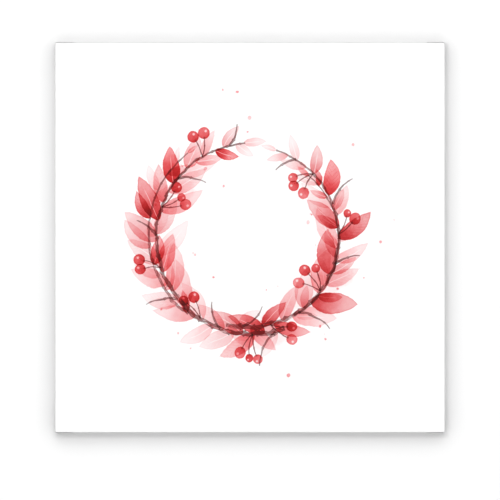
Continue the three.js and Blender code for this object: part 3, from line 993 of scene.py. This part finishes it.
class ClothShape:
    """Points of one face of the cloth: its front, its four sides and its turned flaps.

    The outside has no inset, and the inside lies inset by the cloth's thickness.
    """

    def __init__(self, sizes, inset):
        self.radius = sizes.edge_radius
        self.flat_half = HALF - self.radius
        self.flap_line = HALF - sizes.flap
        self.inset = inset
        self.marks = stations(self.flat_half, self.flap_line)
        self.shares = (self.marks + self.flat_half) / (2 * self.flat_half)
        self.ring = tuple(np.transpose(square(0, len(self.marks) - 1)))

    def rows(self):
        """Half size and depth of each ring of points between the front and the back."""
        radius = self.radius - self.inset
        front = []
        for turn in np.radians([22.5, 45, 67.5, 90]):
            y = FRONT_Y + self.radius - radius * math.cos(turn)
            front.append((self.flat_half + radius * math.sin(turn), y))
        straight = DEPTH - 2 * self.radius
        sides = []
        for share in np.linspace(0, 1, 7)[1:-1]:
            sides.append((self.flat_half + radius, FRONT_Y + self.radius + straight * share))
        back = [(half, FRONT_Y + BACK_Y - y) for half, y in reversed(front)]
        return [*front, *sides, *back]

    def front(self):
        """Points of the grid on the front, which bears on the bars' lips."""
        x, z = np.meshgrid(self.marks, self.marks, indexing="ij")
        lip = HALF - BAR_LIP
        hollow = 1 - rise(np.maximum(np.abs(x), np.abs(z)), lip - LIP_SLOPE, lip)
        return np.stack([x, FRONT_Y + self.inset + FRONT_HOLLOW * hollow, z], -1)

    def side(self, half, y):
        """One ring of points round the sides, with the corners' folds on the outside."""
        ring_x, ring_z = (self.marks[places] for places in self.ring)
        x, z = round_corners(ring_x * half / self.flat_half, ring_z * half / self.flat_half, half)
        if self.inset == 0:
            on_top = np.abs(ring_z) >= self.flat_half - SAME_LINE
            z = z + np.sign(z) * on_top * self.fold(np.abs(ring_x), (y - FRONT_Y) / DEPTH)
        return np.stack([x, np.full_like(x, y), z], -1)

    def fold(self, from_middle, depth):
        """How far the folded cloth stands out, which runs slantwise from the front's corner."""
        slant = self.flat_half - FOLD_REACH * depth
        folded = rise(from_middle, slant - FOLD_SLOPE, slant + FOLD_SLOPE)
        seam = rise(from_middle, self.flat_half - SEAM_START, self.flat_half - SEAM_END)
        swell = math.sin(math.pi * min(depth * 1.15, 1) * 0.5)
        return folded * (1 - seam) * FOLD_RISE * swell - seam * SEAM_DROP

    def back(self):
        """Points of the grid on the back, and which of them the flaps cover."""
        x, z = np.meshgrid(self.marks, self.marks, indexing="ij")
        y = BACK_Y - self.inset + self.pucker(x, z)
        if self.inset == 0:
            y = y + self.tuck(x, z) * (FOLD_Y - BACK_Y)
        covered = np.maximum(np.abs(x), np.abs(z)) >= self.flap_line - SAME_LINE
        return np.stack([self.uneven_cut(x, z), y, self.uneven_cut(z, x)], -1), covered

    def pucker(self, x, z):
        """How far the flaps lift between the staples, near their free edge."""
        edge = np.maximum(np.abs(x), np.abs(z))
        run = np.where(np.abs(x) > np.abs(z), z, x) / STAPLE_PITCH
        lift = 0.5 - 0.5 * np.cos(2 * math.pi * (run - 0.5))
        return PUCKER * lift * (1 - rise(edge, self.flap_line, self.flap_line + PUCKER_REACH))

    def tuck(self, x, z):
        """Layers tucked under the ends of the top and bottom flaps, from 0 to 1."""
        over = np.abs(x) - (np.abs(z) - DEPTH)
        return rise(over, -1.0 * MM, 1.0 * MM) * (np.abs(z) >= self.flap_line - SAME_LINE)

    def uneven_cut(self, across, along):
        """Places across a flap, which wander along its free edge."""
        away = np.abs(across)
        run = along / MM + np.sign(across) * 31
        wave = 0.3 * np.sin(run / 6.1) + 0.16 * np.sin(run / 2.3) + 0.1 * np.sin(run / 1.1)
        near = 1 - rise(away, self.flap_line + 0.2 * MM, self.flap_line + CUT_REACH)
        near = near * (away > self.flap_line - SAME_LINE)
        return across + np.sign(across) * wave * near * CUT_WAVE


@dataclass
class MapPlaces:
    """Where the parts of one face of the cloth lie on the flat map: left, bottom and width."""

    front: tuple
    sides: tuple
    side_height: float
    back: tuple


OUTSIDE_MAP = MapPlaces((0.005, 0.005, 0.78), (0.005, 0.79, 0.78), 0.045, (0.80, 0.205, 0.19))
INSIDE_MAP = MapPlaces((0.80, 0.005, 0.19), (0.80, 0.41, 0.19), 0.02, (0.80, 0.55, 0.19))
CUT_MAP = (0.80, 0.76, 0.19)
CUT_MAP_HEIGHT = 0.01
MAP_GAP = 0.005


class Sheet:
    """The points and faces of the cloth, and each face's slot and corners on the flat map."""

    def __init__(self):
        self.points = []
        self.faces = []
        self.slots = []
        self.map_corners = []

    def number(self, points):
        """Adds an array of points and returns their numbers in an array of the same form."""
        start = len(self.points)
        self.points.extend(points.reshape(-1, 3))
        return start + np.arange(points.size // 3).reshape(points.shape[:-1])

    def add(self, face, slot, map_corners, flip):
        """One face, whose corners are taken the other way round where it is flipped."""
        step = -1 if flip else 1
        self.faces.append(face[::step])
        self.slots.append(slot)
        self.map_corners.append(map_corners[::step])

    def add_grid(self, ids, slot, shares, map_place, turn, flip):
        """The cells of a grid of numbered points, save those with a missing point."""
        left, bottom, width = map_place
        for i, j in np.ndindex(len(ids) - 1, len(ids) - 1):
            places = [(i + right, j + up) for right, up in turn]
            face = [ids[place] for place in places]
            if min(face) >= 0:
                corners = [(left + width * shares[a], bottom + width * shares[b]) for a, b in places]
                self.add(face, slot, corners, flip)

    def add_band(self, rows, slot, map_place, heights, flip):
        """The cells between rows of numbered points, at these heights on the map."""
        left, bottom, width = map_place
        cells = len(rows[0]) - 1
        for k in range(cells):
            u0 = left + width * k / cells
            u1 = left + width * (k + 1) / cells
            for row, (low, high) in enumerate(zip(rows, rows[1:])):
                v0 = bottom + heights[row]
                v1 = bottom + heights[row + 1]
                face = [low[k], low[k + 1], high[k + 1], high[k]]
                self.add(face, slot, [(u0, v0), (u1, v0), (u1, v1), (u0, v1)], flip)

    def add_sides(self, rings, slot, places, shares, flip):
        """The four sides, one above the other on the map."""
        left, bottom, width = places.sides
        per_side = len(rings[0]) // 4
        for side in range(4):
            here = np.arange(side * per_side, (side + 1) * per_side + 1) % len(rings[0])
            map_place = (left, bottom + (places.side_height + MAP_GAP) * side, width)
            rows = [ids[here] for ids in rings]
            self.add_band(rows, slot, map_place, shares * places.side_height, flip)

    def mesh(self, name):
        """The mesh of all the faces added, at the picture's height."""
        mesh = bpy.data.meshes.new(name)
        points = np.array(self.points) + (0, 0, MIDDLE_Z)
        mesh.from_pydata(points.tolist(), [], np.array(self.faces).tolist())
        mesh.polygons.foreach_set("material_index", np.array(self.slots, np.int32))
        layer = mesh.uv_layers.new(name="OFBake")
        layer.data.foreach_set("uv", np.array(self.map_corners, np.float32).ravel())
        mesh.polygons.foreach_set("use_smooth", np.ones(len(self.faces), bool))
        mesh.set_sharp_from_angle(angle=math.radians(50))
        return mesh


def build_canvas(sizes):
    """The whole cloth as one closed sheet, and which of its faces are the printed front."""
    sheet = Sheet()
    outside = ClothShape(sizes, 0)
    inside = ClothShape(sizes, sizes.cloth)
    rows = outside.rows()
    steps = [math.dist(*pair) for pair in zip(rows, rows[1:])]
    shares = np.cumsum([0, *steps, 0.5 * MM, 0.5 * MM])
    shares = shares / shares[-1]
    backs = []
    for shape, places, flip in ((outside, OUTSIDE_MAP, False), (inside, INSIDE_MAP, True)):
        front_slot, back_slot = (RAW, RAW) if flip else (PRINTED, TURNED)
        front_ids = sheet.number(shape.front())
        side_ids = [sheet.number(shape.side(half, y)) for half, y in shape.rows()]
        back, covered = shape.back()
        back_ids = np.full(covered.shape, -1)
        back_ids[covered] = sheet.number(back[covered])
        rings = [front_ids[shape.ring], *side_ids, back_ids[shape.ring]]
        sheet.add_grid(front_ids, front_slot, shape.shares, places.front, FRONT_TURN, flip)
        sheet.add_sides(rings, back_slot, places, shares, not flip)
        sheet.add_grid(back_ids, back_slot, shape.shares, places.back, BACK_TURN, flip)
        backs.append(back_ids)

    # The raw cut edge of the flaps joins the two faces of the cloth
    open_lines = np.flatnonzero(np.abs(outside.marks) < outside.flap_line - SAME_LINE)
    rim = square(open_lines[0] - 1, open_lines[-1] + 1)
    rim = tuple(np.transpose([*rim, rim[0]]))
    sheet.add_band([ids[rim] for ids in backs], RAW, CUT_MAP, (0, CUT_MAP_HEIGHT), True)
    return sheet.mesh("canvas_sheet"), np.flatnonzero(np.array(sheet.slots) == PRINTED)


# Operators


# Round lights: place about the picture's middle and width in metres, and power in watts
LIGHTS = {
    "softbox": ((0, -1.95, 0.15), 5.8, 104),
    "key": ((-0.24, -4.2, 1.87), 3.0, 28.9),
    "lamp": ((-0.1, -2.1, 0.25), 0.5, 8.5),
    "back_high": ((0.7, 1.9, 0.685), 1.4, 27),
    "back_low": ((-0.8, 1.8, -0.315), 1.4, 16),
}


class PICTURE_OT_stage(bpy.types.Operator):
    """Wall, floor, lights and camera"""

    bl_idname = "picture.stage"
    bl_label = "Stage"

    def execute(self, context):
        colours = context.scene.picture_colours
        self.walls(colours)
        corners = [(x * FLOOR_HALF, y * FLOOR_HALF, FLOOR_Z) for x, y in SQUARE]
        floor = self.plane("floor", corners, [(0, 1, 2, 3)], self.floor_paint(colours))
        floor.visible_diffuse = False
        floor.visible_shadow = False
        for name, (place, width, power) in LIGHTS.items():
            self.round_light(name, place, width, power)
        self.floor_light(floor)
        self.surroundings(context)
        self.camera(context)
        return {"FINISHED"}

    def walls(self, colours):
        """The wall, and its part behind the picture, which lets the lights behind reach the back.

        Neither throws light back on the picture's sides, so that the shadow is as dark at its
        root as in the photo.
        """
        paint = self.wall_paint(colours)
        outer = [(x * WALL_HALF, WALL_TOP if z > 0 else FLOOR_Z) for x, z in SQUARE]
        inner = [(x * HALF, MIDDLE_Z + z * HALF) for x, z in SQUARE]
        points = [(x, WALL_Y, z) for x, z in (*outer, *inner)]
        sides = [(k, (k + 1) % 4, (k + 1) % 4 + 4, k + 4) for k in range(4)]
        wall = self.plane("wall", points, sides, paint)
        wall.visible_diffuse = False
        middle = self.plane("wall_behind_picture", points[4:], [(0, 1, 2, 3)], paint)
        middle.visible_shadow = False
        middle.visible_diffuse = False

    def plane(self, name, points, faces, paint):
        """A flat piece of the stage."""
        mesh = bpy.data.meshes.new(name)
        mesh.from_pydata(points, [], faces)
        plane = link(name, mesh, paint)
        return plane

    def wall_paint(self, colours):
        """Matt white that is only there from the front, so that the back can be seen."""
        material, tree, shader = new_material("wall_paint")
        plug(tree, colours.wall, shader.inputs["Base Color"])
        shader.inputs["Roughness"].default_value = 0.95
        shader.inputs["Specular IOR Level"].default_value = 0.1
        geometry = tree.nodes.new("ShaderNodeNewGeometry")
        clear = tree.nodes.new("ShaderNodeBsdfTransparent")
        mix = tree.nodes.new("ShaderNodeMixShader")
        tree.links.new(geometry.outputs["Backfacing"], mix.inputs[0])
        tree.links.new(shader.outputs[0], mix.inputs[1])
        tree.links.new(clear.outputs[0], mix.inputs[2])
        tree.links.new(mix.outputs[0], tree.nodes["Material Output"].inputs["Surface"])
        return material

    def floor_paint(self, colours):
        """Matt grey."""
        material, tree, shader = new_material("floor_paint")
        plug(tree, colours.floor, shader.inputs["Base Color"])
        shader.inputs["Roughness"].default_value = 0.9
        return material

    def round_light(self, name, place, width, power):
        """A round light that points at the picture and isn't seen itself."""
        light = bpy.data.lights.new(name, "AREA")
        light.shape = "DISK"
        light.size = width
        light.energy = power
        lamp = bpy.data.objects.new(name, light)
        lamp.location = Vector(place) + Vector((0, 0, MIDDLE_Z))
        lamp.rotation_euler = (-Vector(place)).to_track_quat("-Z", "Y").to_euler()
        lamp.visible_camera = False
        bpy.context.scene.collection.objects.link(lamp)

    def floor_light(self, floor):
        """Even light straight down that reaches the floor alone."""
        light = bpy.data.lights.new("overhead", "SUN")
        light.energy = 3.1
        light.angle = math.radians(30)
        overhead = bpy.data.objects.new("overhead", light)
        bpy.context.scene.collection.objects.link(overhead)
        lit = bpy.data.collections.new("lit_from_overhead")
        lit.objects.link(floor)
        overhead.light_linking.receiver_collection = lit

    def surroundings(self, context):
        """Grey beyond the stage, dim in reflections, which throws no light on matt things."""
        world = bpy.data.worlds.new("studio")
        world.use_nodes = True
        tree = world.node_tree
        background = tree.nodes["Background"]
        background.inputs["Color"].default_value = (1, 1, 1, 1)
        path = tree.nodes.new("ShaderNodeLightPath").outputs
        seen = Field(tree, path["Is Camera Ray"]) * 0.5
        mirrored = Field(tree, path["Is Glossy Ray"]) * 0.2
        plug(tree, seen + mirrored, background.inputs["Strength"])
        context.scene.world = world
        context.scene.view_settings.view_transform = "Standard"

    def camera(self, context):
        """Looks straight at the picture from so far off that its sides don't show."""
        pixel = 2 * HALF / PICTURE_WIDTH
        data = bpy.data.cameras.new("camera")
        data.lens = 800
        data.clip_end = 50
        distance = PHOTO_WIDTH * pixel * data.lens / data.sensor_width
        camera = bpy.data.objects.new("camera", data)
        camera.location = (0, FRONT_Y - distance, MIDDLE_Z - PICTURE_RISE * pixel)
        camera.rotation_euler = (math.radians(90), 0, 0)
        context.scene.collection.objects.link(camera)
        context.scene.camera = camera


class PICTURE_OT_canvas(bpy.types.Operator):
    """The stretched cloth with its folds, its flaps and its print"""

    bl_idname = "picture.canvas"
    bl_label = "Canvas"

    def execute(self, context):
        sizes = context.scene.picture_sizes
        colours = context.scene.picture_colours
        mesh, front = build_canvas(sizes)
        washes, twigs, stains = wreath(sizes)
        dampen(mesh, stains)
        layers = {
            "wash": paint(mesh, front, washes, "wash"),
            "twig": paint(mesh, front, twigs, "twig"),
        }
        canvas = link(
            "canvas_cloth",
            mesh,
            primed_cloth(colours, sizes, layers),
            raw_cloth(colours, sizes),
            turned_cloth(colours, sizes),
        )
        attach(canvas, "root")
        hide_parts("canvas")
        return {"FINISHED"}


def finish_nodes(prefix, material_for, easing):
    """Gives each CAD node whose name starts with prefix its material and eased edges."""
    for name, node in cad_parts.items():
        if name.startswith(prefix):
            node.data.materials.clear()
            node.data.materials.append(material_for(name))
            weld = node.modifiers.new("Weld", "WELD")
            weld.merge_threshold = 0.005 * MM
            bevel = node.modifiers.new("Eased edges", "BEVEL")
            bevel.width = easing
            bevel.segments = 2
            bevel.limit_method = "ANGLE"
            bevel.angle_limit = math.radians(35)
            bevel.harden_normals = True


def turned(name, profile, node, material):
    """A round piece in a CAD node's place, from pairs of radius and y in mm, foot first."""
    low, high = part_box(node)
    middle_x = (low.x + high.x) / 2
    middle_z = (low.z + high.z) / 2
    points = [(middle_x, profile[0][1] * MM, middle_z)]
    for radius, y in profile[1:-1]:
        for k in range(ROUND_FACETS):
            turn = 2 * math.pi * k / ROUND_FACETS
            x = middle_x + radius * MM * math.sin(turn)
            points.append((x, y * MM, middle_z + radius * MM * math.cos(turn)))
    points.append((middle_x, profile[-1][1] * MM, middle_z))
    last_ring = 1 + (len(profile) - 3) * ROUND_FACETS
    faces = []
    for k in range(ROUND_FACETS):
        following = (k + 1) % ROUND_FACETS
        faces.append((0, 1 + following, 1 + k))
        for ring in range(1, last_ring, ROUND_FACETS):
            above = ring + ROUND_FACETS
            faces.append((ring + k, ring + following, above + following, above + k))
        faces.append((len(points) - 1, last_ring + k, last_ring + following))
    mesh = bpy.data.meshes.new(name)
    mesh.from_pydata(points, [], faces)
    mesh.polygons.foreach_set("use_smooth", np.ones(len(faces), bool))
    mesh.set_sharp_from_angle(angle=math.radians(40))
    piece = link(name, mesh, material)
    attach(piece, "root")
    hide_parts(node)


class PICTURE_OT_bars(bpy.types.Operator):
    """The four stretcher bars"""

    bl_idname = "picture.bars"
    bl_label = "Stretcher bars"

    def execute(self, context):
        colours = context.scene.picture_colours
        knots = {"top": -96, "right": 118, "bottom": 64, "left": -41}
        for seed, (name, knot) in enumerate(knots.items()):
            level = name in ("top", "bottom")
            wood = pine(f"pine_{name}", colours, along_x=level, seed=seed + 0.37, knot=knot)
            finish_nodes(f"bar_{name}", lambda _: wood, easing=0.35 * MM)
        return {"FINISHED"}


class PICTURE_OT_wedges(bpy.types.Operator):
    """The corner wedges"""

    bl_idname = "picture.wedges"
    bl_label = "Corner wedges"

    def execute(self, context):
        colours = context.scene.picture_colours
        level = beech("beech_level", colours, along_x=True)
        upright = beech("beech_upright", colours, along_x=False)
        woods = {"top": level, "right": upright, "bottom": level, "left": upright}
        finish_nodes("wedge_", lambda name: woods[name.split("_")[1]], easing=0.3 * MM)
        return {"FINISHED"}


# Pairs of radius and y in mm, from the nail's point along its shank to its domed head's middle
NAIL_PROFILE = (
    (0, -11.7), (0.4, -10.9), (0.75, -10.2), (0.75, -1.72), (0.8, -1.7), (1.8, -1.7),
    (1.93, -1.66), (2.0, -1.56), (1.97, -1.44), (1.82, -1.3), (1.5, -1.14), (1.0, -1.04),
    (0.5, -1.0), (0, -1.0),
)
# The same for a pad, from its glued face over its rounded rim to its dished back's middle
PAD_PROFILE = (
    (0, -1.5), (5.35, -1.5), (5.5, -1.42), (5.5, -0.6), (5.45, -0.37), (5.32, -0.18),
    (5.13, -0.05), (4.9, 0), (4.3, 0), (4.0, -0.06), (3.6, -0.2), (1.6, -0.32), (0, -0.35),
)


class PICTURE_OT_fasteners(bpy.types.Operator):
    """The staples and the hanger's nails"""

    bl_idname = "picture.fasteners"
    bl_label = "Staples and nails"

    def execute(self, context):
        colours = context.scene.picture_colours
        wire = metal("bright_wire", colours.wire, roughness=0.22, spangle=0.0)
        finish_nodes("staple_", lambda _: wire, easing=0.16 * MM)
        for side in ("left", "right"):
            turned(f"nail_{side}", NAIL_PROFILE, f"hanger_nail_{side}", wire)
        return {"FINISHED"}


class PICTURE_OT_hanger(bpy.types.Operator):
    """The sawtooth hanger"""

    bl_idname = "picture.hanger"
    bl_label = "Sawtooth hanger"

    def execute(self, context):
        colours = context.scene.picture_colours
        zinc = metal("zinc_plate", colours.zinc, roughness=0.3, spangle=0.35)
        finish_nodes("hanger", lambda _: zinc, easing=0.14 * MM)
        return {"FINISHED"}


class PICTURE_OT_pads(bpy.types.Operator):
    """The rubber wall pads"""

    bl_idname = "picture.pads"
    bl_label = "Wall pads"

    def execute(self, context):
        rubber = matt_rubber(context.scene.picture_colours)
        for side in ("left", "right"):
            turned(f"wall_pad_{side}", PAD_PROFILE, f"pad_{side}", rubber)
        return {"FINISHED"}


class PICTURE_PT_panel(bpy.types.Panel):
    """Lists the picture's pieces and settings"""

    bl_idname = "PICTURE_PT_panel"
    bl_label = "Stretched canvas picture"
    bl_space_type = "VIEW_3D"
    bl_region_type = "UI"
    bl_category = "Picture"

    def draw(self, context):
        for group in (context.scene.picture_sizes, context.scene.picture_colours):
            box = self.layout.box()
            for name in group.__annotations__:
                box.prop(group, name)
        for operator in OPERATORS:
            self.layout.operator(operator.bl_idname)


OPERATORS = (
    PICTURE_OT_stage,
    PICTURE_OT_canvas,
    PICTURE_OT_bars,
    PICTURE_OT_wedges,
    PICTURE_OT_fasteners,
    PICTURE_OT_hanger,
    PICTURE_OT_pads,
)
CLASSES = (PictureSizes, PictureColours, *OPERATORS, PICTURE_PT_panel)


def register():
    for cls in CLASSES:
        bpy.utils.register_class(cls)
    bpy.types.Scene.picture_sizes = PointerProperty(type=PictureSizes)
    bpy.types.Scene.picture_colours = PointerProperty(type=PictureColours)


def unregister():
    del bpy.types.Scene.picture_colours
    del bpy.types.Scene.picture_sizes
    for cls in reversed(CLASSES):
        bpy.utils.unregister_class(cls)


def main():
    register()
    bpy.ops.picture.stage()
    bpy.ops.picture.canvas()
    bpy.ops.picture.bars()
    bpy.ops.picture.wedges()
    bpy.ops.picture.fasteners()
    bpy.ops.picture.hanger()
    bpy.ops.picture.pads()


if __name__ == "__main__":
    main()
